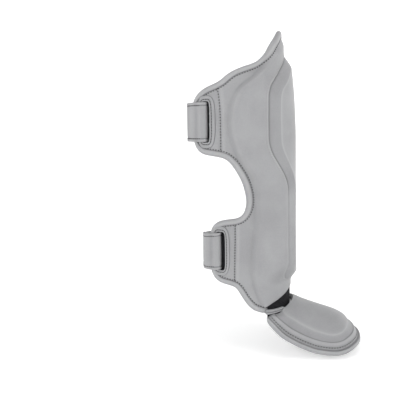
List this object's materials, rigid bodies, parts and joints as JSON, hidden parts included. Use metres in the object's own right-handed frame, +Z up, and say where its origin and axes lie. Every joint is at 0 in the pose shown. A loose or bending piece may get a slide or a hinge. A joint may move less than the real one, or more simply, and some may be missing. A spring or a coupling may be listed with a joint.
{
  "type": "muay thai shin guard",
  "caption": "Padded leather shin guard with a raised front panel, two wrap-round straps and an arched foot pad joined by a fabric ankle.",
  "frame": {"origin": "on the leg's axis inside the guard, at the height where the side openings are", "axes": "+Z up along the leg, the shin faces -Y, +X is the side where the straps are sewn on"},
  "size_m": [0.1612, 0.2722, 0.4919],
  "materials": {
    "leather_shell": "smooth, softly glossy grey leather over foam",
    "leather_binding": "rolled and stitched grey leather strip",
    "strap_leather": "flat grey leather strap with turned hems",
    "black_webbing": "ribbed black fabric"
  },
  "bodies": {
    "root": {"shin_shell": "leather_shell", "edge_binding": "leather_binding", "upper_strap": "strap_leather", "lower_strap": "strap_leather", "upper_slot_patch": "leather_binding", "lower_slot_patch": "leather_binding", "ankle_webbing": "black_webbing", "ankle_tab_left": "leather_binding", "ankle_tab_right": "leather_binding", "foot_pad": "leather_shell", "foot_binding": "leather_binding"}
  },
  "joints": []
}
